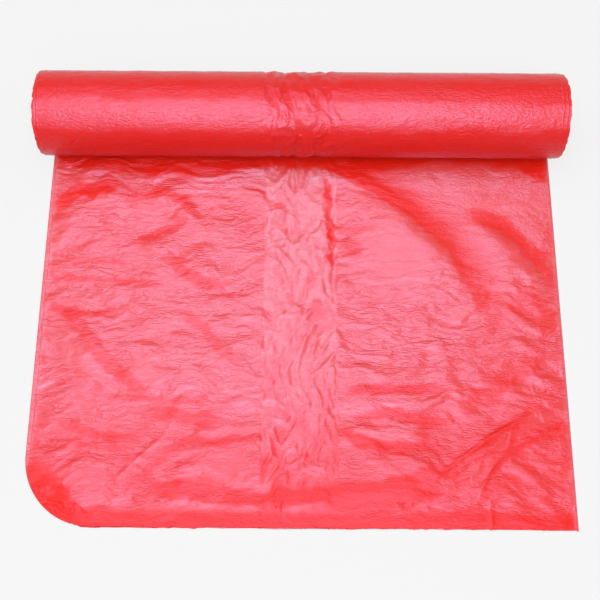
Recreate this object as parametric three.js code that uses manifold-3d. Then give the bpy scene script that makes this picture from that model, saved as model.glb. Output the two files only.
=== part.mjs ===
// A roll of red waste bags with the leading bag drawn out flat in front of it.
// The film is one flattened tube with a gusset tucked into each side, so it lies four layers
// thick at the sides and two layers thick in the middle strip. It leaves the roll at the
// bottom and lies on the floor, as far as the torn line of perforations at its front edge.
// Millimetres, +Z up, +X along the roll, the drawn-out bag towards -Y.
// The origin is on the floor, in the middle of the whole footprint.

import * as THREE from 'three';
import { mergeVertices } from 'three/addons/utils/BufferGeometryUtils.js';
import Module from 'manifold-3d';

const wasm = await Module();
wasm.setup();

// The film: a flattened, gusseted tube
const filmWidth = 540; // folded width, from side fold to side fold
const middleStrip = 75; // between the inner folds of the two gussets
const layerLoft = 0.5; // height that one crumpled layer takes up
const sideLayers = 4;
const middleLayers = 2;
const gussetStep = 3; // width over which the film drops from the side to the middle strip

// The drawn-out length, and its front left corner, which is turned under along a quarter circle
const drawnLength = 422; // from the roll's axis to the torn front edge
const cornerRadius = 69;
const cornerRows = 8;

// The roll: the same film, wound without a core
const rollRadius = 44.5;
const boreRadius = 15;
const middleSlack = 0.8; // the middle strip has fewer layers, so the roll is slimmer there
const turnOverhang = 4.5; // how far the inner turns wander past the film's folded edge
const rollSegments = 60;

// How far each group of turns stands out past the outermost one, from the outside inwards,
// as a share of turnOverhang
const turnShares = [0, 0.6, 1, 0.7, 0.95, 0.55, 0.85, 0.6];

// Swells in the top panel where air is trapped under it. Each is a long rounded ridge:
// its middle as a share of the drawn-out bag, its direction from +X, half length, half width, height.
const swells = [
  { across: 0.70, along: 0.28, turn: -38, halfLength: 130, halfWidth: 34, height: 3.0 },
  { across: 0.90, along: 0.36, turn: -52, halfLength: 90, halfWidth: 24, height: 2.2 },
  { across: 0.16, along: 0.20, turn: 24, halfLength: 70, halfWidth: 22, height: 2.2 },
  { across: 0.33, along: 0.33, turn: 34, halfLength: 60, halfWidth: 20, height: 1.8 },
  { across: 0.22, along: 0.62, turn: -6, halfLength: 120, halfWidth: 26, height: 2.2 },
  { across: 0.72, along: 0.66, turn: 2, halfLength: 120, halfWidth: 20, height: 2.0 },
  { across: 0.80, along: 0.83, turn: 28, halfLength: 95, halfWidth: 18, height: 2.6 },
  { across: 0.45, along: 0.86, turn: -4, halfLength: 130, halfWidth: 26, height: 2.2 },
];
const edgeTaper = 26; // the swells die out over this distance from the film's edges
const panelStep = 20; // size of the facets that draw the swells

const weldDistance = 1e-4; // corners closer than this are one corner

const filmColour = new THREE.Color().setRGB(0.9, 0.045, 0.05);

const halfWidth = filmWidth / 2;
const halfMiddle = middleStrip / 2;

// A closed geometry as a manifold solid
function toSolid(geometry) {
  const bare = geometry.clone();
  bare.deleteAttribute('normal');
  bare.deleteAttribute('uv');
  const merged = mergeVertices(bare, weldDistance);
  return new wasm.Manifold(new wasm.Mesh({
    numProp: 3,
    vertProperties: new Float32Array(merged.attributes.position.array),
    triVerts: new Uint32Array(merged.index.array),
  }));
}

// A manifold solid as a geometry
function toGeometry(solid) {
  const mesh = solid.getMesh();
  const geometry = new THREE.BufferGeometry();
  geometry.setAttribute('position', new THREE.BufferAttribute(mesh.vertProperties, 3));
  geometry.setIndex(new THREE.BufferAttribute(mesh.triVerts, 1));
  geometry.computeVertexNormals();
  return geometry;
}

// Where the left edge of the film lies at a distance y in front of the roll's axis
function leftEdge(y) {
  const pastStart = THREE.MathUtils.clamp(y - drawnLength + cornerRadius, 0, cornerRadius);
  return -halfWidth + cornerRadius - Math.sqrt(cornerRadius ** 2 - pastStart ** 2);
}

// Height of the flat-lying film over the floor, without its swells
function stackHeight(x) {
  const drop = THREE.MathUtils.smoothstep(Math.abs(x), halfMiddle, halfMiddle + gussetStep);
  return layerLoft * THREE.MathUtils.lerp(middleLayers, sideLayers, drop);
}

// Height that the trapped air adds at a point of the top panel
function swellHeight(x, y) {
  let height = 0;
  for (const swell of swells) {
    const dx = x - (swell.across - 0.5) * filmWidth;
    const dy = y + swell.along * drawnLength;
    const angle = THREE.MathUtils.degToRad(swell.turn);
    const lengthwise = (dx * Math.cos(angle) + dy * Math.sin(angle)) / swell.halfLength;
    const crosswise = (dy * Math.cos(angle) - dx * Math.sin(angle)) / swell.halfWidth;
    height += swell.height * Math.exp(-(lengthwise ** 2) - crosswise ** 2);
  }
  const toEdge = Math.min(x - leftEdge(-y), halfWidth - x, y + drawnLength);
  return height * THREE.MathUtils.smoothstep(toEdge, 0, edgeTaper);
}

// Evenly spaced values from start to end, both included
function spaced(start, end, step) {
  const count = Math.max(1, Math.round(Math.abs(end - start) / step));
  return Array.from({ length: count + 1 }, (_, i) => start + ((end - start) * i) / count);
}

// The drawn-out bag: a flat underside on the floor and a swelling top panel
function drawnFilm() {
  const sideColumns = spaced(0, 1, panelStep / (halfWidth - halfMiddle - gussetStep));
  const middleColumns = spaced(-halfMiddle, halfMiddle, panelStep);
  const rows = [
    ...spaced(Math.PI / 2, 0, Math.PI / 2 / cornerRows)
      .map((angle) => -drawnLength + cornerRadius * (1 - Math.sin(angle))),
    ...spaced(-drawnLength + cornerRadius, 0, panelStep).slice(1),
  ];
  const grid = rows.map((y) => {
    const left = leftEdge(-y);
    const columns = [
      ...sideColumns.map((s) => THREE.MathUtils.lerp(left, -halfMiddle - gussetStep, s)),
      ...middleColumns,
      ...sideColumns.map((s) => THREE.MathUtils.lerp(halfMiddle + gussetStep, halfWidth, s)),
    ];
    return columns.map((x) => new THREE.Vector3(x, y, stackHeight(x) + swellHeight(x, y)));
  });
  const rowCount = grid.length;
  const columnCount = grid[0].length;
  const top = (row, column) => row * columnCount + column;
  const faces = [];
  for (let row = 0; row + 1 < rowCount; row += 1) {
    for (let column = 0; column + 1 < columnCount; column += 1) {
      faces.push(top(row, column), top(row, column + 1), top(row + 1, column + 1));
      faces.push(top(row, column), top(row + 1, column + 1), top(row + 1, column));
    }
  }

  // The edge, anticlockwise from above: front, right, back, left
  const edge = [
    ...spaced(0, columnCount - 1, 1).map((column) => top(0, column)),
    ...spaced(1, rowCount - 1, 1).map((row) => top(row, columnCount - 1)),
    ...spaced(columnCount - 2, 0, 1).map((column) => top(rowCount - 1, column)),
    ...spaced(rowCount - 2, 1, 1).map((row) => top(row, 0)),
  ];
  const vertices = grid.flat();
  const under = vertices.length;
  const outline = edge.map((index) => new THREE.Vector2(vertices[index].x, vertices[index].y));
  for (const point of outline) vertices.push(new THREE.Vector3(point.x, point.y, 0));
  edge.forEach((index, i) => {
    const next = (i + 1) % edge.length;
    faces.push(index, under + i, under + next);
    faces.push(index, under + next, edge[next]);
  });
  for (const [a, b, c] of THREE.ShapeUtils.triangulateShape(outline, [])) {
    faces.push(under + a, under + c, under + b);
  }

  const geometry = new THREE.BufferGeometry().setFromPoints(vertices);
  geometry.setIndex(faces);
  return geometry;
}

// The section of one end of the roll, from the outermost turn in to the bore
function endSection(shares) {
  const band = (rollRadius - boreRadius) / shares.length;
  return shares.flatMap((share, i) => {
    const reach = halfWidth + turnOverhang * share;
    return [
      new THREE.Vector2(rollRadius - band * i, reach),
      new THREE.Vector2(rollRadius - band * (i + 1), reach),
    ];
  });
}

// The wound film: turned about its axis, with its groups of turns showing on both ends
function woundFilm() {
  const near = endSection(turnShares);
  const far = endSection([turnShares[0], ...turnShares.slice(1).reverse()])
    .map((point) => new THREE.Vector2(point.x, -point.y));
  const middle = [
    new THREE.Vector2(rollRadius, -halfMiddle - gussetStep),
    new THREE.Vector2(rollRadius - middleSlack, -halfMiddle),
    new THREE.Vector2(rollRadius - middleSlack, halfMiddle),
    new THREE.Vector2(rollRadius, halfMiddle + gussetStep),
  ];
  const profile = [...far.reverse(), ...middle, ...near];
  profile.push(profile[0].clone());
  const geometry = new THREE.LatheGeometry(profile, rollSegments);
  geometry.rotateZ(-Math.PI / 2);
  geometry.translate(0, 0, rollRadius);
  return geometry;
}

// The web of film is one piece: what is wound up and what is drawn out
const webOfFilm = toSolid(woundFilm()).add(toSolid(drawnFilm()));
const material = new THREE.MeshStandardMaterial({ color: filmColour, roughness: 0.3, metalness: 0 });
const bagRoll = new THREE.Mesh(toGeometry(webOfFilm), material);
bagRoll.name = 'bag_roll';

const part = new THREE.Group();
part.add(bagRoll);
bagRoll.position.y = (drawnLength - rollRadius) / 2;

export default part;
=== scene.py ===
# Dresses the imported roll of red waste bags, and sets its floor, light and camera.
# The scene is in metres. Shapes of the film are worked out in millimetres, in the film's own
# places: x along the roll, and ahead, the distance in front of the roll's axis.

import math

import bpy
import numpy as np
from mathutils import Matrix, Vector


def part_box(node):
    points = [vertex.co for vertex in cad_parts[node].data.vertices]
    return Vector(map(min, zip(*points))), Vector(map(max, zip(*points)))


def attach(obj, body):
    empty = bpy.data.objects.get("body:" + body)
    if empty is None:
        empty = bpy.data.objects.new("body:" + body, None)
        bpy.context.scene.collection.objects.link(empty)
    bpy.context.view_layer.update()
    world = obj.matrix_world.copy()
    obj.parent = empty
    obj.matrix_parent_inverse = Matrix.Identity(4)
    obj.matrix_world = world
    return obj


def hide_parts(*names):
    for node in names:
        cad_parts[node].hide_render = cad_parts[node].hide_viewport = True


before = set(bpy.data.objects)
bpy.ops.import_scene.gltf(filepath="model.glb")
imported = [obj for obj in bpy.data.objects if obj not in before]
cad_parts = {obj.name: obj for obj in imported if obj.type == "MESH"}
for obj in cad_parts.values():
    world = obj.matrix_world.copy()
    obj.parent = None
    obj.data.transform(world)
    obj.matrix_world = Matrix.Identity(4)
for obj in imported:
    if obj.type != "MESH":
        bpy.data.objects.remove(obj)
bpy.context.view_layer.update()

# Sizes that come from the imported roll, in millimetres
MM = 0.001
low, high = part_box("bag_roll")
roll_radius = (high.z - low.z) / 2 / MM
axis_y = high.y / MM - roll_radius
drawn_length = axis_y - low.y / MM

# The film: a flattened tube with a gusset tucked into each side
film_width = 540.0  # folded, from side fold to side fold
half_width = film_width / 2
half_middle = 37.5  # half of the strip between the inner folds of the two gussets
layer_loft = 0.5  # height that one crumpled layer takes up
fold_radius = 1.2  # of the round side folds
corner_radius = 69.0  # of the front left corner, which is turned under
torn_reach = 7.0  # how far behind the front edge the tear pulls the film out of line

# The roll
bore_radius = 15.0
turn_count = 56  # turns that are drawn on each end
turn_steps = 240  # places round each of them
turn_pitch = (roll_radius - 0.8 - bore_radius) / turn_count
outer_film = 0.35  # step from one of the outermost turns to the next
outer_reach = 3.6  # how far the outermost turn stands out past the folded width
outer_wall = 2.2  # depth of the shell that shows the outermost turns
bore_wall = 1.2


# Numbers: smooth steps, noise and distances

def smooth_step(value, start, end):
    share = np.clip((value - start) / (end - start), 0.0, 1.0)
    return share * share * (3.0 - 2.0 * share)


def bell(value, middle, spread):
    return np.exp(-(((value - middle) / spread) ** 2))


def noise(x, y, z, seed):
    """Gradient noise, about -1 to 1, with a grain one unit wide."""
    generator = np.random.default_rng(seed)
    order = np.tile(generator.permutation(256), 2)
    slopes = generator.normal(size=(256, 3))
    slopes /= np.linalg.norm(slopes, axis=1, keepdims=True)
    x, y, z = np.broadcast_arrays(x, y, z)
    cells = [np.floor(value).astype(int) for value in (x, y, z)]
    parts = [value - cell for value, cell in zip((x, y, z), cells)]
    fades = [p * p * p * (p * (p * 6 - 15) + 10) for p in parts]
    total = np.zeros(x.shape)
    for corner in np.ndindex(2, 2, 2):
        index = order[(cells[0] + corner[0]) & 255]
        index = order[(index + cells[1] + corner[1]) & 255]
        index = order[(index + cells[2] + corner[2]) & 255]
        weight = np.ones(x.shape)
        value = np.zeros(x.shape)
        for axis in range(3):
            value += slopes[index, axis] * (parts[axis] - corner[axis])
            weight *= fades[axis] if corner[axis] else 1.0 - fades[axis]
        total += weight * value
    return total * 1.6


def ridged(x, y, z, seed):
    """Noise folded into sharp ridges, 0 to 1."""
    return np.clip(1.0 - np.abs(noise(x, y, z, seed)) * 1.8, 0.0, 1.0) ** 2


def curve_through(points, steps=5):
    """A smooth line through the points."""
    p = np.array([points[0], *points, points[-1]], float)
    out = []
    for i in range(1, len(p) - 2):
        for t in np.linspace(0, 1, steps, endpoint=False):
            out.append(0.5 * (
                2 * p[i] + (p[i + 1] - p[i - 1]) * t
                + (2 * p[i - 1] - 5 * p[i] + 4 * p[i + 1] - p[i + 2]) * t ** 2
                + (3 * p[i] - p[i - 1] - 3 * p[i + 1] + p[i + 2]) * t ** 3
            ))
    out.append(p[-2])
    return np.array(out)


def from_line(x, ahead, points):
    """Signed distance from a line through the points, and the share of its length there."""
    line = curve_through(points)
    best = np.full(x.shape, 1e9)
    side = np.zeros(x.shape)
    share = np.zeros(x.shape)
    count = len(line) - 1
    for i in range(count):
        start, end = line[i], line[i + 1]
        run = end - start
        length = run @ run
        along = ((x - start[0]) * run[0] + (ahead - start[1]) * run[1]) / length
        held = np.clip(along, 0.0, 1.0)
        dx = x - start[0] - held * run[0]
        dy = ahead - start[1] - held * run[1]
        distance = np.hypot(dx, dy)
        nearer = distance < best
        best = np.where(nearer, distance, best)
        side = np.where(nearer, np.sign(dx * run[1] - dy * run[0]), side)
        share = np.where(nearer, (i + held) / count, share)
    return best * side, share


# The drawn-out bag's relief

# Swells where air is trapped under the top panel, as the solid has them
swells = [
    (0.70, 0.28, -38, 130, 34, 3.0),
    (0.90, 0.36, -52, 90, 24, 2.2),
    (0.16, 0.20, 24, 70, 22, 2.2),
    (0.33, 0.33, 34, 60, 20, 1.8),
    (0.22, 0.62, -6, 120, 26, 2.2),
    (0.72, 0.66, 2, 120, 20, 2.0),
    (0.80, 0.83, 28, 95, 18, 2.6),
    (0.45, 0.86, -4, 130, 26, 2.2),
]

# Soft folds: points (x, ahead), height, width of the right-hand or near slope, and of the other
soft_folds = [
    ([(30, 60), (82, 92), (125, 132), (150, 165), (168, 215)], 3.3, 46, 22),
    ([(176, 112), (212, 128), (236, 160), (252, 190)], 2.6, 26, 12),
    ([(-262, 112), (-243, 92), (-215, 80), (-180, 77)], 2.4, 26, 12),
    ([(-180, 96), (-140, 80), (-118, 100), (-100, 128)], 1.8, 20, 9),
    ([(-172, 142), (-150, 126), (-122, 114)], 1.6, 16, 8),
    ([(18, 60), (21, 90), (25, 128), (24, 160)], 1.8, 14, 6),
    ([(40, 300), (100, 298), (178, 299)], 1.3, 12, 7),
    ([(36, 327), (80, 326), (130, 328)], 1.4, 12, 7),
    ([(34, 358), (90, 357), (142, 352)], 1.5, 14, 8),
    ([(-64, 396), (-28, 402), (2, 399), (50, 390), (100, 384), (140, 386)], 2.0, 12, 13),
]

# Sharp creases: points (x, ahead), height, width
creases = [
    ([(-180, 377), (-157, 355), (-133, 333)], 1.9, 2.0),
    ([(130, 375), (169, 348), (201, 326), (231, 310)], 2.2, 2.2),
    ([(211, 324), (205, 345), (188, 365), (174, 393)], 1.6, 1.8),
    ([(206, 345), (234, 332), (264, 316)], 1.5, 2.0),
    ([(186, 393), (186, 420)], 1.0, 1.6),
    ([(16, 297), (12, 327), (6, 352), (-1, 374)], 1.0, 2.4),
    ([(-30, 367), (-48, 376)], 0.8, 2.0),
]
edge_taper = 26.0


def left_edge(ahead):
    """Where the bottom panel ends on the left, with its rounded front corner."""
    past = np.clip(ahead - drawn_length + corner_radius, 0.0, corner_radius)
    return -half_width + corner_radius - np.sqrt(corner_radius ** 2 - past ** 2)


def swell_relief(x, ahead):
    height = np.zeros(x.shape)
    for across, along, turn, half_length, half_breadth, top in swells:
        dx = x - (across - 0.5) * film_width
        dy = along * drawn_length - ahead
        angle = math.radians(turn)
        lengthwise = (dx * math.cos(angle) + dy * math.sin(angle)) / half_length
        crosswise = (dy * math.cos(angle) - dx * math.sin(angle)) / half_breadth
        height += top * np.exp(-(lengthwise ** 2) - crosswise ** 2)
    return height


def fold_relief(x, ahead):
    height = np.zeros(x.shape)
    for points, top, near_width, far_width in soft_folds:
        distance, share = from_line(x, ahead, points)
        turn_over = smooth_step(distance, -near_width, far_width)
        width = near_width + (far_width - near_width) * turn_over
        ends = smooth_step(share, 0.0, 0.34) * smooth_step(1 - share, 0.0, 0.34)
        height += top * bell(distance, 0, width) * ends
    return height


def crease_relief(x, ahead):
    height = np.zeros(x.shape)
    for points, top, width in creases:
        distance, share = from_line(x, ahead, points)
        ends = np.sqrt(np.clip(4 * share * (1 - share), 0, 1))
        height += top * np.exp(-np.abs(distance) / width) * ends
    return height


def calm_share(x, ahead):
    """How far the film lies free of wrinkles, 0 to 1."""
    crumpled = 1 - 0.72 * smooth_step(x, 45, 100) * smooth_step(185 - ahead, 0, 60)
    crumpled = crumpled * (1 - 0.75 * bell(x, 82, 62) * bell(ahead, 388, 13))
    return 1 - crumpled * (1 - 0.6 * smooth_step(ahead, drawn_length - 22, drawn_length - 12))


def wrinkle_relief(x, ahead):
    warp_x = x + 14 * noise(x / 62, ahead / 48, 0.3, 11)
    warp_y = ahead + 18 * noise(x / 58, ahead / 52, 7.1, 12) + 3.0 * noise(x / 17, ahead / 14, 2.2, 13)
    strip = smooth_step(half_middle + 4 - np.abs(x), 0, 8)
    patches = 0.6 + 0.4 * noise(x / 58, ahead / 36, 3.3, 14)
    by_roll = bell(ahead, 58, 24) * smooth_step(-x, -20, 60)
    side = 0.12 * noise(warp_x / 13, warp_y / 3.4, 0, 21)
    side += 0.78 * ridged(warp_x / 30, warp_y / 8, 0, 23) * patches
    side += 0.44 * ridged(warp_x / 16, warp_y / 4.6, 0, 25) * (1.3 - patches)
    side += 0.60 * ridged(warp_x / 50, warp_y / 5, 0, 26) * by_roll
    side += 0.45 * noise(warp_x / 18, warp_y / 7, 0, 27)
    side += 1.6 * noise(warp_x / 34, warp_y / 17, 5, 24)
    middle = 0.26 * noise(warp_x / 5.5, warp_y / 12, 0, 31)
    middle += 1.15 * ridged(warp_x / 14, warp_y / 26, 0, 32) * (1.5 - patches)
    middle += 0.85 * ridged(warp_x / 9, warp_y / 9, 0, 33) * patches
    middle += 1.0 * noise(warp_x / 22, warp_y / 34, 0, 34)
    return (side * (1 - strip) + middle * strip) * (1 - calm_share(x, ahead))


def corner_relief(x, ahead):
    """The front left corner slopes down where it is turned under."""
    middle_x, middle_ahead = corner_radius - half_width, drawn_length - corner_radius
    in_corner = (x < middle_x) & (ahead > middle_ahead)
    straight = np.minimum(x + half_width, drawn_length - ahead)
    curved = corner_radius - np.hypot(x - middle_x, ahead - middle_ahead)
    to_edge = np.where(in_corner, curved, straight)
    near = bell(np.hypot(x - middle_x + 40, ahead - middle_ahead - 40), 0, 46)
    return 5.5 * smooth_step(to_edge, -4, 34) * near


# Where the layers cling together and show their full red, and where a painted shade takes away the
# painted sheen; elsewhere the air between them and the painted sheen make the film look paler: points
# (x, ahead), half width, strength
cling_and_shade_lines = [
    ([(-263, 97), (-252, 82), (-238, 71), (-215, 68), (-195, 64)], 8, 0.75),
    ([(-188, 84), (-165, 76), (-145, 73), (-130, 80), (-118, 90), (-108, 102)], 6, 0.55),
    ([(-176, 136), (-160, 125), (-145, 117), (-128, 108), (-140, 98)], 6, 0.45),
    ([(-146, 142), (-132, 152), (-118, 162), (-103, 173), (-70, 179)], 6, 0.5),
    ([(-262, 198), (-240, 206), (-215, 208), (-186, 206)], 5, 0.6),
    ([(-262, 168), (-220, 170), (-170, 174), (-146, 177)], 3, 0.45),
    ([(-254, 150), (-205, 150), (-178, 157)], 3, 0.4),
    ([(-238, 212), (-222, 226), (-208, 246), (-180, 272), (-148, 295)], 7, 0.45),
    ([(-124, 206), (-100, 222), (-86, 240), (-60, 262)], 5, 0.4),
    ([(-196, 296), (-150, 297), (-118, 299), (-90, 296)], 3.5, 0.35),
    ([(-156, 308), (-130, 310), (-110, 316), (-80, 319)], 7, 0.45),
    ([(-232, 322), (-205, 332), (-180, 336), (-156, 334)], 4, 0.45),
    ([(-225, 343), (-190, 346), (-162, 342)], 3, 0.35),
    ([(-130, 348), (-106, 338), (-84, 340), (-58, 337), (-38, 338)], 4.5, 0.55),
    ([(-172, 390), (-154, 374), (-136, 358), (-118, 346)], 4, 0.3),
    ([(-156, 390), (-122, 385), (-100, 389), (-84, 378)], 9, 0.55),
    ([(-84, 390), (-50, 395), (-18, 394), (14, 391), (44, 392)], 8, 0.75),
    ([(14, 392), (50, 392), (85, 391), (115, 384), (138, 371)], 13, 0.92),
    ([(122, 380), (150, 362), (176, 343), (204, 325), (240, 303)], 4, 0.6),
    ([(213, 320), (205, 345), (189, 365), (180, 385), (175, 402)], 4, 0.5),
    ([(206, 346), (234, 334), (268, 322)], 6, 0.5),
    ([(46, 288), (80, 286), (110, 286), (150, 286)], 4.5, 0.6),
    ([(60, 312), (84, 310), (104, 313), (126, 319), (150, 320)], 5, 0.55),
    ([(40, 326), (52, 334), (66, 341), (96, 344), (146, 343)], 6, 0.65),
    ([(170, 302), (192, 290), (206, 276), (226, 264), (240, 250)], 9, 0.4),
    ([(172, 97), (196, 100), (216, 107), (232, 122), (246, 142), (264, 176)], 8, 0.55),
    ([(34, 112), (58, 115), (84, 111)], 4, 0.4),
    ([(44, 128), (56, 134), (66, 136)], 8, 0.4),
    ([(218, 186), (242, 204), (262, 232)], 12, 0.35),
    ([(25, 44), (29, 84), (33, 125), (30, 160)], 3.5, 0.7),
]

# The crisp border of the widest of these places, and how far it fades behind that border
wide_border = [(46, 56), (80, 76), (104, 92), (122, 106), (140, 124), (156, 144), (167, 164),
               (178, 188), (189, 214), (192, 246)]
wide_fade = 54

# How much stronger all of the lines are drawn, and the most that any one of them shows
shade_gain = 1.25
shade_most = 0.88

# How far in front of the roll's axis the film stays in the roll's shade, at places across it
shade_places = [-270, -240, -160, -120, -40, 20, 60, 100, 140, 190, 230, 270]
shade_ends = [44, 46, 55, 56, 46, 47, 56, 46, 40, 40, 44, 62]


def cling_and_shade_share(x, ahead):
    """How far the painted sheen is taken away, 0 to 1: painted shade where the layers cling together, in
    the roll's shade, along the torn front edge, at the far right and on the corner that is turned under.
    """
    warp_x = x + 3.5 * noise(x / 11, ahead / 7, 0.5, 131) + 1.6 * noise(x / 4, ahead / 3, 0.5, 132)
    warp_y = ahead + 2.6 * noise(x / 13, ahead / 6, 4.5, 133) + 1.2 * noise(x / 5, ahead / 2.4, 4.5, 134)
    free = np.ones(x.shape)
    for points, half_breadth, strength in cling_and_shade_lines:
        distance, share = from_line(warp_x, warp_y, points)
        ends = smooth_step(share, -0.1, 0.2) * smooth_step(1 - share, -0.1, 0.2)
        reach = half_breadth * (1.15 + 0.5 * noise(x / 17, ahead / 12, 2.5, 135))
        held = min(shade_most, shade_gain * strength) * ends
        free *= 1 - held * (1 - smooth_step(np.abs(distance), 0.65 * reach, 1.25 * reach))

    # The widest place, with one crisp border
    distance, share = from_line(warp_x, warp_y, wide_border)
    behind = smooth_step(distance, -2, 3) * (1 - smooth_step(distance, 10, wide_fade))
    free *= 1 - (0.90 - 0.45 * share) * behind * (1 - smooth_step(share, 0.8, 1.0))

    # Painted shade: the shade of the roll, and along the torn front edge and at the far right
    border = np.interp(x, shade_places, shade_ends) + 2.5 * noise(x / 9, 0.5, 0.5, 136)
    free *= smooth_step(warp_y, border - 7, border + 5)
    front = drawn_length - 15 + 4 * noise(x / 42, 0.5, 0.5, 137)
    free *= 1 - 0.95 * smooth_step(warp_y, front - 5, front + 3)
    free *= 1 - 0.22 * smooth_step(x, 90, 200) * smooth_step(ahead, 150, 240)

    # Painted shade on the corner that is turned under
    past_chord = (warp_y - drawn_length + corner_radius - warp_x - half_width) / math.sqrt(2)
    bulge = 5 * bell(warp_x + warp_y - drawn_length + corner_radius + half_width, 72, 40)
    free *= 1 - 0.95 * smooth_step(past_chord + bulge, -10, 3)
    return 1 - free


def roll_lift(x, ahead):
    """The film comes off the roll's underside and only then settles on the floor."""
    return (4.4 + 0.8 * noise(x / 70, 0.5, 0.5, 15)) * bell(ahead, 34, 27)


def top_relief(x, ahead):
    to_edge = np.minimum(np.minimum(x - left_edge(ahead), half_width - x), drawn_length - ahead)
    settled = smooth_step(to_edge, 0, edge_taper)
    near_edge = 0.25 + 0.75 * smooth_step(to_edge, 0, 8)
    large = (swell_relief(x, ahead) + fold_relief(x, ahead)) * settled
    large = large + corner_relief(x, ahead) + roll_lift(x, ahead)
    small = (crease_relief(x, ahead) + wrinkle_relief(x, ahead)) * near_edge
    return large + small


# Meshes

def new_piece(name, points, faces, material):
    """A smooth-shaded mesh from points in millimetres."""
    mesh = bpy.data.meshes.new(name)
    mesh.from_pydata((np.asarray(points) * MM).tolist(), [], faces)
    mesh.materials.append(material)
    mesh.polygons.foreach_set("use_smooth", np.ones(len(mesh.polygons), bool))
    mesh.update()
    piece = bpy.data.objects.new(name, mesh)
    bpy.context.collection.objects.link(piece)
    return piece


def paint(piece, name, values):
    """Keeps one number a vertex for the material to read: "pale" says how pale the film is, from painted
    shade to painted sheen and highlight, and where the layers lie loose, and "calm" how free of wrinkles
    they are. Both read as 0 where nothing is painted."""
    layer = piece.data.attributes.new(name, "FLOAT", "POINT")
    layer.data.foreach_set("value", np.asarray(values, np.float32))


def grid_faces(index):
    """Faces between neighbours in a grid of vertex numbers."""
    quads = np.stack([index[:-1, :-1], index[:-1, 1:], index[1:, 1:], index[1:, :-1]], -1)
    return quads.reshape(-1, 4).tolist()


def spread(start, end, step, fine, reach):
    """Places from start to end about a step apart, and finer within reach of both ends."""
    dense = np.arange(0, reach, fine)
    count = max(2, round((end - start - 2 * reach) / step))
    return np.concatenate([
        start + dense,
        np.linspace(start + reach, end - reach, count + 1),
        end - dense[::-1],
    ])


# Materials

class Graph:
    """Short ways to place and join the nodes of one material."""

    def __init__(self, name):
        self.material = bpy.data.materials.new(name)
        self.material.use_nodes = True
        self.nodes = self.material.node_tree.nodes
        self.links = self.material.node_tree.links
        self.shader = self.nodes["Principled BSDF"]

    def add(self, kind, **settings):
        node = self.nodes.new(kind)
        for name, value in settings.items():
            setattr(node, name, value)
        return node

    def join(self, output, socket):
        if isinstance(output, (int, float, tuple)):
            socket.default_value = output
        else:
            self.links.new(output, socket)

    def noise(self, vector, scale, detail, distortion=0.0):
        node = self.add("ShaderNodeTexNoise")
        node.inputs["Scale"].default_value = scale
        node.inputs["Detail"].default_value = detail
        node.inputs["Distortion"].default_value = distortion
        self.join(vector, node.inputs["Vector"])
        return node.outputs["Fac"]

    def stretched(self, scale, turn=0.0):
        place = self.add("ShaderNodeTexCoord")
        mapping = self.add("ShaderNodeMapping")
        mapping.inputs["Scale"].default_value = scale
        mapping.inputs["Rotation"].default_value = (0, 0, turn)
        self.join(place.outputs["Object"], mapping.inputs["Vector"])
        return mapping.outputs["Vector"]

    def attribute(self, name):
        return self.add("ShaderNodeAttribute", attribute_name=name).outputs["Fac"]

    def math(self, operation, *values, clamp=False):
        node = self.add("ShaderNodeMath", operation=operation, use_clamp=clamp)
        for value, socket in zip(values, node.inputs):
            self.join(value, socket)
        return node.outputs["Value"]

    def range(self, value, start, end):
        node = self.add("ShaderNodeMapRange")
        node.inputs["To Min"].default_value = start
        node.inputs["To Max"].default_value = end
        self.join(value, node.inputs["Value"])
        return node.outputs["Result"]

    def mix(self, share, first, second):
        """Mixes two colours. The node repeats its names for each kind of value, so the sockets
        of its colour form are picked by number."""
        node = self.add("ShaderNodeMix", data_type="RGBA")
        self.join(share, node.inputs[0])
        self.join(first, node.inputs[6])
        self.join(second, node.inputs[7])
        return node.outputs[2]

    def bump(self, height, distance):
        node = self.add("ShaderNodeBump")
        node.inputs["Distance"].default_value = distance
        self.join(height, node.inputs["Height"])
        return node.outputs["Normal"]


def crease_lines(graph, scale, turn):
    """Thin lines, 0 to 1, where a stretched noise passes through its middle value."""
    width = 0.075
    level = graph.noise(graph.stretched(scale, turn), 1.0, 2.0, distortion=0.7)
    off_line = graph.math("ABSOLUTE", graph.math("SUBTRACT", level, 0.5))
    line = graph.add("ShaderNodeMapRange", interpolation_type="SMOOTHSTEP")
    line.inputs["From Max"].default_value = width
    line.inputs["To Min"].default_value = 1.0
    line.inputs["To Max"].default_value = 0.0
    graph.join(off_line, line.inputs["Value"])
    return line.outputs["Result"]


full_gloss_at = 0.4  # paleness from which on the film has its full gloss
roughness_spread = 0.05


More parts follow.
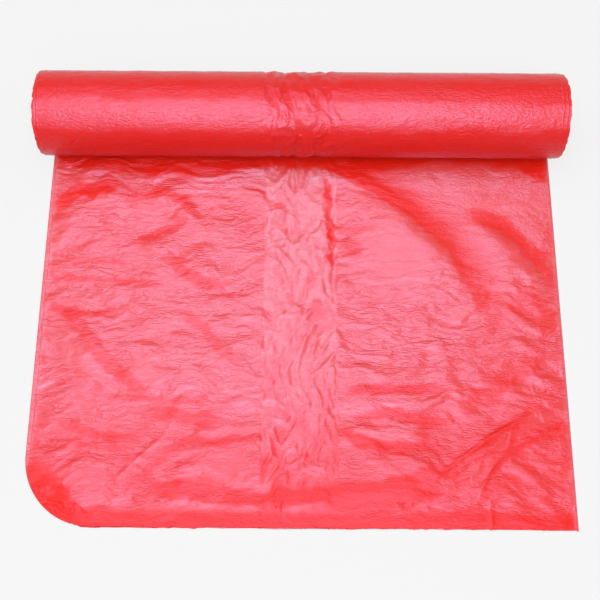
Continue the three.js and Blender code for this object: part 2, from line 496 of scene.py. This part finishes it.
def film_material(name, tight_and_shade, loose_and_sheen, roughness, gloss, lines, grain_depth):
    """Colour and gloss go from deep red, where the layers cling together and where shade is painted, to
    pale, where they lie loose and where sheen and highlight are painted. Each set of creases has its
    stretch, its turn, its depth in millimetres and how far it reddens the film along its lines, a
    painted shade in the creases."""
    graph = Graph(name)
    shader = graph.shader
    shader.inputs["Specular Tint"].default_value = (0.4, 0.62, 1.0, 1)
    shader.inputs["IOR"].default_value = 1.5
    pale = graph.attribute("pale")
    crumpled = graph.math("SUBTRACT", 1.0, graph.attribute("calm"))
    gloss_share = graph.math("MULTIPLY", pale, 1 / full_gloss_at, clamp=True)
    graph.join(graph.range(gloss_share, *gloss), shader.inputs["Specular IOR Level"])

    # A mottle along the film varies its roughness and its colour
    lengthwise = graph.stretched((1.0, 1.8, 1.8))
    mottle = graph.noise(lengthwise, 60, 6)
    rough = graph.range(mottle, roughness - roughness_spread, roughness + roughness_spread)
    graph.join(rough, shader.inputs["Roughness"])
    share = graph.math("MULTIPLY", pale, graph.range(mottle, 0.40, 1.55))

    # The creases come and go over a fine grain, and the film is painted redder along them, a painted
    # shade in the creases
    height = graph.math("MULTIPLY", graph.noise(lengthwise, 330, 3), grain_depth)
    for i, (scale, turn, depth, crease_shade) in enumerate(lines):
        patches = graph.range(graph.noise(lengthwise, 22 + 7 * i, 2), -1.3, 2.6)
        crease = crease_lines(graph, scale, turn)
        crease = graph.math("MULTIPLY", crease, graph.math("MAXIMUM", patches, 0.0))
        crease = graph.math("MULTIPLY", crease, crumpled)
        height = graph.math("MULTIPLY_ADD", crease, -depth, height)
        share = graph.math("MULTIPLY", share, graph.range(crease, 1.0, 1.0 - crease_shade), clamp=True)

    graph.join(graph.mix(share, (*tight_and_shade, 1), (*loose_and_sheen, 1)), shader.inputs["Base Color"])
    graph.join(graph.bump(height, MM), shader.inputs["Normal"])
    return graph.material


# The loose film's pale colour carries the painted sheen, and its deep red the painted shade
loose_film = film_material(
    "loose_film",
    tight_and_shade=(0.645, 0.014, 0.006),
    loose_and_sheen=(0.645, 0.11, 0.112),
    roughness=0.17,
    gloss=(0.35, 1.2),
    lines=[
        ((50, 150, 150), 0.0, 0.18, 0.45),
        ((75, 190, 190), 0.45, 0.12, 0.35),
        ((95, 260, 260), -0.35, 0.09, 0.25),
    ],
    grain_depth=0.30,
)
# The wound film's deep red is the painted shade on the roll's lower flank, and its pale colour the
# painted highlight along the front and the pale edges of the turns on the ends
wound_film = film_material(
    "wound_film",
    tight_and_shade=(0.60, 0.011, 0.004),
    loose_and_sheen=(0.72, 0.036, 0.035),
    roughness=0.22,
    gloss=(0.42, 1.0),
    lines=[
        ((60, 140, 140), 0.0, 0.12, 0.0),
        ((110, 240, 240), 0.4, 0.10, 0.0),
    ],
    grain_depth=0.60,
)


# The drawn-out bag

def closed_panel(name, x, ahead, height, bottom, paleness):
    """A closed mesh: a relief on top, a flat underside and the wall between them."""
    rows, columns = x.shape
    top = np.stack([x, axis_y - ahead, height], -1).reshape(-1, 3)
    index = np.arange(rows * columns).reshape(rows, columns)
    faces = [face[::-1] for face in grid_faces(index)]
    rim = np.concatenate([index[0, :], index[1:, -1], index[-1, -2::-1], index[-2:0:-1, 0]])
    under = top[rim].copy()
    under[:, 2] = bottom
    first = len(top)
    count = len(rim)
    for i in range(count):
        j = (i + 1) % count
        faces.append([int(rim[i]), int(rim[j]), first + j, first + i])
    faces.append([first + i for i in range(count - 1, -1, -1)])
    piece = new_piece(name, np.concatenate([top, under]), faces, loose_film)
    paint(piece, "pale", np.concatenate([paleness.ravel(), paleness.ravel()[rim]]))
    return piece


def torn_edge(x, seed):
    """How far the torn front edge stands out past its line."""
    ragged = 0.8 * noise(x / 2.6, 0.5, 0.5, seed) + 0.8 * noise(x / 17, 0.5, 0.5, seed + 1)
    nibs = np.clip(noise(x / 2.1, 3.5, 0.5, seed + 2) - 0.45, 0, 1) * 3.2
    return ragged + nibs


def fold_round(distance, radius):
    """Height share of a folded edge, a distance in from it."""
    inside = np.clip(distance / radius, 0, 1)
    return np.sqrt(1 - (1 - inside) ** 2)


# Distances between the vertices of the panels
upper_step = 1.6
lower_step = 3.1
side_step, side_reach = 0.3, 2.1  # finer at the side folds of the upper panel
front_step, front_reach = 0.4, 3.2  # finer before the torn front edge
lifted_reach = 20.0  # under the roll, where eight rows do

# How far the upper side folds lie inside the lower ones
left_inset = 4.6
right_inset = 1.9


def film_rows(step):
    """Distances ahead of the axis for the rows of vertices, about a step apart."""
    count = round((drawn_length - lifted_reach) / step)
    return np.concatenate([
        np.linspace(0, lifted_reach, 8, endpoint=False),
        np.linspace(lifted_reach, drawn_length - front_reach, count, endpoint=False),
        drawn_length - np.linspace(front_reach, 0, round(front_reach / front_step) + 1),
    ])


def torn_share(ahead):
    """0 to 1 over the last stretch, which the tear pulls out of line."""
    return smooth_step(ahead, drawn_length - torn_reach, drawn_length)


def corner_share(x, ahead):
    """0 to 1 into the corner that is turned under."""
    forward = smooth_step(ahead, drawn_length - corner_radius, drawn_length - 50)
    return forward * smooth_step(-x, 120, 190)


def upper_paleness(x, ahead, strip, to_side):
    """How pale the film under the top panel is: 0 is deep red, and 1 is pale. The paleness is painted
    sheen where the layers lie loose, and painted shade takes it away.
    """
    near_roll = 1 - smooth_step(ahead, 150, 360)

    # The middle strip has broken streaks of painted sheen along the film, and they soften towards the
    # front
    warp_x = x + 8 * noise(x / 24, ahead / 22, 0.5, 53) + 2.5 * noise(x / 7, ahead / 9, 0.5, 58)
    warp_y = ahead + 20 * noise(x / 19, ahead / 34, 0.5, 59) + 5 * noise(x / 6, ahead / 9, 0.5, 60)
    streaks = ridged(warp_x / 7, warp_y / 34, 0.5, 54) - 0.35
    mottle = 0.28 * noise(warp_x / 17, warp_y / 22, 0.5, 57)
    broken = (0.22 + 0.6 * near_roll) * streaks + mottle
    broken = broken * (1 - 0.4 * smooth_step(ahead, 200, 290))

    # The film gets redder to the right and to the front, a painted shade where the sheen fades
    paleness = 0.49 + strip * (0.25 * near_roll + broken)
    paleness = paleness - 0.05 * smooth_step(x, -60, 260) - 0.24 * smooth_step(ahead, 240, 370)
    paleness = paleness - 0.08 * strip * smooth_step(ahead, 330, 380)

    # A painted highlight by the roll, and a broken pale line along the strip's left side
    paleness = paleness + 0.8 * bell(x, 13, 12) * bell(ahead, 82, 30)
    seam = bell(x, -35, 2.6) * smooth_step(noise(ahead / 16, 0.5, 0.5, 56), -0.5, 0.3)
    paleness = paleness + 0.4 * seam * smooth_step(ahead, 50, 70) * smooth_step(230 - ahead, 0, 60)

    # The painted shade takes the paleness away, and the side folds stay pale
    paleness = paleness * (1 - cling_and_shade_share(x, ahead))
    return paleness + 0.3 * (1 - smooth_step(to_side, 1, 6)) * (1 - corner_share(x, ahead))


def build_upper():
    """The top panel on the upper layer of the gussets."""
    across = spread(0, 1, upper_step / film_width, side_step / film_width, side_reach / film_width)
    ahead, share = np.meshgrid(film_rows(upper_step), across, indexing="ij")

    # Its side folds wander, and at the corner that is turned under they meet the lower ones
    corner_start = drawn_length - corner_radius
    turned = smooth_step(ahead, corner_start, corner_start + 22)
    inset = left_inset + 1.4 * noise(ahead / 70, 0.5, 0.5, 51)
    left = left_edge(ahead) + inset * (1 - 0.85 * turned)
    right = half_width - right_inset - 1.0 * noise(ahead / 60, 0.5, 0.5, 52)
    x = left + share * (right - left)
    to_side = np.minimum(x - left, right - x)

    strip = smooth_step(half_middle + 2 - np.abs(x), 0, 3)
    bottom = layer_loft * 2
    thickness = layer_loft * (2 - strip) * fold_round(to_side, fold_radius)
    height = bottom + thickness + top_relief(x, ahead)
    paleness = upper_paleness(x, ahead, strip, to_side)
    calm = np.maximum(calm_share(x, ahead), 0.6 * strip)
    ahead = ahead + torn_edge(x, 61) * torn_share(ahead)
    piece = closed_panel("drawn_bag_top", x, ahead, height, bottom, paleness)
    paint(piece, "calm", np.pad(calm.ravel(), (0, len(piece.data.vertices) - calm.size)))
    return piece


def build_lower():
    """The lower layers of the gussets on the bottom panel, which show along the side edges."""
    edge_width = 14
    sides = np.linspace(0, edge_width, 29)
    middle = np.linspace(edge_width, film_width - edge_width, 36)[1:-1]
    across = np.concatenate([sides, middle, film_width - sides[::-1]])
    ahead, share = np.meshgrid(film_rows(lower_step), across / film_width, indexing="ij")
    left = left_edge(ahead)
    x = left + share * (half_width - left)
    to_side = np.minimum(x - left, half_width - x)
    height = 0.1 + (2 * layer_loft - 0.16) * fold_round(to_side, fold_radius)
    height = height + 0.05 * noise(x / 3, ahead / 7, 0.5, 55)
    # Pale along the side edges, with a painted shade on the corner that is turned under
    paleness = 0.9 - 0.8 * corner_share(x, ahead)
    ahead = ahead + (torn_edge(x, 71) + 0.3) * torn_share(ahead)
    return closed_panel("drawn_bag_bottom", x, ahead, height, 0.0, paleness)


def dress(piece):
    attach(piece, "root")
    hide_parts("bag_roll")


drawn_bag_top = build_upper()
drawn_bag_bottom = build_lower()
for piece in (drawn_bag_top, drawn_bag_bottom):
    dress(piece)


# The wound film

def edge_wander(angle, seed):
    """How a folded edge wanders as it goes round the roll."""
    c, s = 1.6 * np.cos(angle), 1.6 * np.sin(angle)
    wander = 1.1 * noise(c, s, 0.5, seed) + 0.6 * noise(4 * c, 4 * s, 0.5, seed + 1)
    return wander + 0.35 * noise(11 * c, 11 * s, 0.5, seed + 2)


# The folded edges of the turns under the outermost one, where it is set back: side, places
open_edges = [(-1, (-268.0, -271.5)), (1, (265.5, 270.5))]

# Grooves round the slack middle of the roll: place, half width, depth
slack_grooves = [(-9, 5.0, 1.5), (15, 4.0, 1.2), (-30, 3.0, 0.6), (31, 3.0, 0.5)]


def outer_relief(x, angle):
    """Height of the outermost turns over the roll's radius, mostly below it."""
    around = (roll_radius * np.sin(angle), roll_radius * np.cos(angle))
    relief = np.full(x.shape, -0.35)
    relief += 0.20 * noise(x / 6, around[0] / 4, around[1] / 4, 41)
    relief += 0.10 * noise(x / 2.8, around[0] / 2.4, around[1] / 2.4, 44)
    relief += 0.30 * noise(x / 26, around[0] / 12, around[1] / 12, 42)
    strip = smooth_step(half_middle + 6 - np.abs(x), 0, 14)
    lean = x + 9 * np.sin(2 * angle + 0.4) + 7 * noise(x / 30, around[0] / 22, around[1] / 22, 45)
    slack = 1.5 * ridged(lean / 12, around[0] / 34, around[1] / 34, 43)
    slack += 0.9 * ridged(lean / 6, around[0] / 16, around[1] / 16, 46)
    relief += strip * (slack - 1.5)
    for place, half_breadth, depth in slack_grooves:
        relief -= depth * bell(lean, place, half_breadth)
    for side, places in open_edges:
        for i, place in enumerate(places):
            past = side * (x - place) - edge_wander(angle, 81 + 4 * i + side)
            relief -= outer_film * smooth_step(past, 0, 0.4)
            relief += 0.15 * bell(past, -0.6, 0.6)
    return relief


def roll_highlight_and_shade(x, angle):
    """A painted highlight, paler and with full gloss, along the front of the roll's upper half, and a
    little paler towards the top and round the back; the front's lower flank keeps the deep red, a
    painted shade.
    """
    rise = np.degrees(angle) - 90
    rise = rise + 7 * noise(x / 45, angle * 2.5, 0.5, 121) + 3 * noise(x / 10, angle * 11, 0.5, 122)
    shining = smooth_step(rise, 34, 46) * (1 - smooth_step(rise, 74, 83))
    return 0.4 * shining + 0.10 * smooth_step(rise, 70, 90)


def end_notches(side, angle):
    """How the folded edge of the outermost turn is nicked and frayed on each end."""
    c, s = np.cos(angle), np.sin(angle)
    slow = 0.9 * noise(1.8 * c, 1.8 * s, side, 123)
    corners = 1.1 * ridged(3.4 * c, 3.4 * s, side, 124)
    nicks = 2.4 * np.clip(noise(9 * c, 9 * s, side, 125) - 0.3, 0, 1)
    return slow - corners - nicks


def on_roll(x, angle, radius):
    """Points round the roll's axis, none of them under the floor."""
    y = axis_y - radius * np.sin(angle)
    z = np.maximum(roll_radius - radius * np.cos(angle), 0.0)
    return np.stack([x, y, z], -1)


def ring_faces(ring):
    """Faces of a wall that closes on itself both ways, from its vertex numbers: a row for each
    place round the roll, and in the row once round the wall's section."""
    following = np.roll(ring, -1, axis=0)
    width = ring.shape[1]
    faces = []
    for k in range(width):
        m = (k + 1) % width
        quads = np.stack([ring[:, k], ring[:, m], following[:, m], following[:, k]], -1)
        faces.extend(quads.tolist())
    return faces


def build_outer_turn():
    """The outermost turn, and under it the edges of the next two on each side."""
    fine_reach = 12
    edge_round = 0.8
    fine = np.arange(0, fine_reach, 0.27)
    end = half_width + outer_reach
    middle = np.linspace(-end + fine_reach, end - fine_reach, 338)
    columns = np.concatenate([-end + fine, middle, end - fine[::-1]])
    angles = np.linspace(0, 2 * math.pi, 200, endpoint=False)
    angle, x = np.meshgrid(angles, columns, indexing="ij")
    radius = roll_radius + outer_relief(x, angle)
    radius -= edge_round * (1 - fold_round(end - np.abs(x), edge_round))
    side = np.sign(x)
    x = x + side * end_notches(side, angle) * smooth_step(np.abs(x), end - fine_reach, end)
    outer = on_roll(x, angle, radius)
    inner = on_roll(x[:, [0, -1]], angle[:, [0, -1]], roll_radius - outer_wall)

    rows, count = x.shape
    index = np.arange(rows * count).reshape(rows, count)
    under = rows * count + np.arange(rows * 2).reshape(rows, 2)
    ring = np.concatenate([index, under[:, ::-1]], axis=1)
    points = np.concatenate([outer.reshape(-1, 3), inner.reshape(-1, 3)])
    piece = new_piece("outer_turn", points, ring_faces(ring), wound_film)
    paleness = roll_highlight_and_shade(x, angle).ravel()
    paint(piece, "pale", np.concatenate([paleness, np.full(rows * 2, paleness.min())]))
    return piece


def end_reach(turn, angle, seed):
    """How far the edge of each turn stands out past the film's folded width."""
    c, s = np.cos(angle), np.sin(angle)
    groups = 2.3 + 2.0 * noise(turn / 6, c, s, seed)
    single = 0.7 * noise(turn * 1.7, 2.4 * c, 2.4 * s, seed + 1)
    ragged = 0.35 * noise(turn * 1.7, 16 * c, 16 * s, seed + 2)
    hidden = smooth_step(turn, 0.5, 3.0)
    return np.clip(groups + single + ragged, 0.2, 4.6) * hidden + 0.4 * (1 - hidden)


# The outer side of the first of the turns on the ends, how far all of them reach into the roll,
# and how pale they are in there
end_radius = roll_radius - 0.9
end_depth = 6
end_paleness = 0.5

# The rounded edge of each turn: place across it as a share of the pitch, and depth there
lips = ((0.0, 0.95), (0.2, 0.15), (0.5, 0.0), (0.8, 0.15))


def build_end(name, side, seed):
    """The turns on one end of the roll, as one long spiral strip."""
    total = turn_count * turn_steps
    rows = []
    paleness = []
    for share, depth in lips:
        length = total + turn_steps + 1 if share == 0 else total + 1
        step = np.arange(length)
        turn = step / turn_steps
        angle = 2 * math.pi * turn
        radius = end_radius - turn_pitch * (turn + share)
        reach = end_reach(turn + share * 0.2, angle, seed) - depth * 0.8
        rows.append(on_roll(side * (half_width + reach), angle, radius))
        # Painted shade: the colour is deeper red where the lip lies deeper, in the grooves between the
        # turns
        varied = 0.5 * noise(turn * 0.9, np.cos(angle), np.sin(angle), seed + 3)
        paleness.append(1.0 - depth + varied)

    # Each lip joins the next, and the last one the first lip of the next turn in
    first = np.cumsum([0] + [len(row) for row in rows])
    steps = np.arange(total)
    faces = []
    for k in range(len(lips)):
        if k + 1 < len(lips):
            a, b = first[k] + steps, first[k + 1] + steps
        else:
            a, b = first[k] + steps, first[0] + steps + turn_steps
        faces.extend(np.stack([a, a + 1, b + 1, b], -1).tolist())

    def loop(at):
        """Once round the roll from a step of the spiral, and back over the lips to its start."""
        line = list(range(at, at + turn_steps + 1))
        return line + [int(first[k]) + at for k in (3, 2, 1)]

    # The back and the two walls that close the strip
    outer, inner = loop(0), loop(total)
    points = np.concatenate(rows)
    size = len(points)
    back = points[outer + inner].copy()
    back[:, 0] = side * (half_width - end_depth)
    points = np.concatenate([points, back])
    count = len(outer)
    for i in range(count):
        j = (i + 1) % count
        faces.append([outer[j], outer[i], size + i, size + j])
        faces.append([inner[i], inner[j], size + count + j, size + count + i])
        faces.append([size + j, size + i, size + count + i, size + count + j])
    if side > 0:
        faces = [face[::-1] for face in faces]
    piece = new_piece(name, points, faces, wound_film)
    paint(piece, "pale", np.concatenate([*paleness, np.full(len(back), end_paleness)]))
    return piece


def build_inner_turn():
    """The innermost turn, which is the wall of the bore."""
    reach = half_width - 2
    columns = np.linspace(-reach, reach, 150)
    angles = np.linspace(0, 2 * math.pi, 72, endpoint=False)
    angle, x = np.meshgrid(angles, columns, indexing="ij")
    around = (bore_radius * np.sin(angle), bore_radius * np.cos(angle))
    radius = bore_radius + 0.25 * noise(x / 14, around[0] / 6, around[1] / 6, 91)
    behind = on_roll(x, angle, bore_radius + bore_wall)
    wall = on_roll(x, angle, radius)
    grid = np.concatenate([behind, wall[:, ::-1]], axis=1)
    rows, count = grid.shape[:2]
    ring = np.arange(rows * count).reshape(rows, count)
    piece = new_piece("inner_turn", grid.reshape(-1, 3), ring_faces(ring), wound_film)
    paint(piece, "pale", np.full(rows * count, 0.05))
    return piece


for piece in (
    build_outer_turn(),
    build_end("left_end_turns", -1, 101),
    build_end("right_end_turns", 1, 111),
    build_inner_turn(),
):
    dress(piece)


# Floor

floor_grey = 0.12
floor_glow = 0.74


def build_floor():
    """A pale floor that glows evenly, so that shadows on it stay faint."""
    bpy.ops.mesh.primitive_plane_add(size=30)
    floor = bpy.context.object
    floor.name = "floor"
    material = bpy.data.materials.new("pale_floor")
    material.use_nodes = True
    shader = material.node_tree.nodes["Principled BSDF"]
    shader.inputs["Roughness"].default_value = 0.9
    shader.inputs["Base Color"].default_value = (floor_grey, floor_grey, floor_grey, 1)
    shader.inputs["Emission Color"].default_value = (1, 1, 1, 1)
    shader.inputs["Emission Strength"].default_value = floor_glow
    shader.inputs["Specular IOR Level"].default_value = 0.0
    floor.data.materials.append(material)
    return floor


build_floor()


# Light

def panel(name, centre, size, radiance, lean=0.0):
    """A soft rectangular light that faces down, or leans sideways about the y axis."""
    light = bpy.data.lights.new(name, "AREA")
    light.shape = "RECTANGLE"
    light.size, light.size_y = size
    light.energy = radiance * math.pi * size[0] * size[1]
    lamp = bpy.data.objects.new(name, light)
    lamp.location = centre
    lamp.rotation_euler = (0, lean, 0)
    lamp.visible_camera = False
    bpy.context.collection.objects.link(lamp)
    return lamp


panel_height = 2.4
roll_y = axis_y * MM

# Three strips behind the roll give the loose film its broken sheen: distance behind it, depth
back_strips = [(0.15, 0.40), (0.70, 0.40), (1.27, 0.44)]
for i, (behind, strip_depth) in enumerate(back_strips):
    panel(f"back_strip_{i}", (-0.15, roll_y + behind, panel_height), (2.1, strip_depth), 3.6)

# The panel in front draws the highlight along the roll
panel("front_panel", (0, roll_y - 1.75, panel_height), (1.9, 2.80), 4.3)

# The side panels light the film without a sheen
for side, radiance in ((-1, 3.6), (1, 1.9)):
    panel(f"side_panel_{side + 1}", (side * 2.0, -0.1, 2.0), (0.8, 2.4), radiance, side * 0.78)


# The surroundings' strength low down and high up, and where it changes, as the sine of the
# angle over the horizon
low_strength, high_strength = 0.76, 0.26
change_start, change_end = 0.10, 0.32


def build_surroundings():
    """A dim room whose walls are as pale as the floor low down, so that no horizon shows."""
    world = bpy.data.worlds.new("surroundings")
    world.use_nodes = True
    nodes, links = world.node_tree.nodes, world.node_tree.links
    background = nodes["Background"]
    background.inputs["Color"].default_value = (1, 1, 1, 1)
    direction = nodes.new("ShaderNodeTexCoord")
    parts = nodes.new("ShaderNodeSeparateXYZ")
    strength = nodes.new("ShaderNodeMapRange")
    strength.interpolation_type = "SMOOTHSTEP"
    strength.inputs["From Min"].default_value = change_start
    strength.inputs["From Max"].default_value = change_end
    strength.inputs["To Min"].default_value = low_strength
    strength.inputs["To Max"].default_value = high_strength
    links.new(direction.outputs["Generated"], parts.inputs["Vector"])
    links.new(parts.outputs["Z"], strength.inputs["Value"])
    links.new(strength.outputs["Result"], background.inputs["Strength"])
    bpy.context.scene.world = world


build_surroundings()


# Camera

# Its place is (x, ahead, height) in millimetres, and its turns are in degrees
camera_place = (-0.9, 472.9, 893.3)
camera_tilt, camera_yaw, camera_roll = 17.50, -0.14, 0.51
focal_pixels, frame_pixels, sensor = 900.0, 600.0, 36.0
lens = bpy.data.cameras.new("camera")
lens.sensor_width = sensor
lens.lens = sensor * focal_pixels / frame_pixels
camera = bpy.data.objects.new("camera", lens)
bpy.context.collection.objects.link(camera)
turn = (
    Matrix.Rotation(math.radians(camera_yaw), 4, "Z")
    @ Matrix.Rotation(math.radians(camera_tilt), 4, "X")
    @ Matrix.Rotation(math.radians(camera_roll), 4, "Z")
)
spot = (camera_place[0] * MM, (axis_y - camera_place[1]) * MM, camera_place[2] * MM)
camera.matrix_world = Matrix.Translation(spot) @ turn
bpy.context.scene.camera = camera

bpy.context.scene.view_settings.view_transform = "Standard"
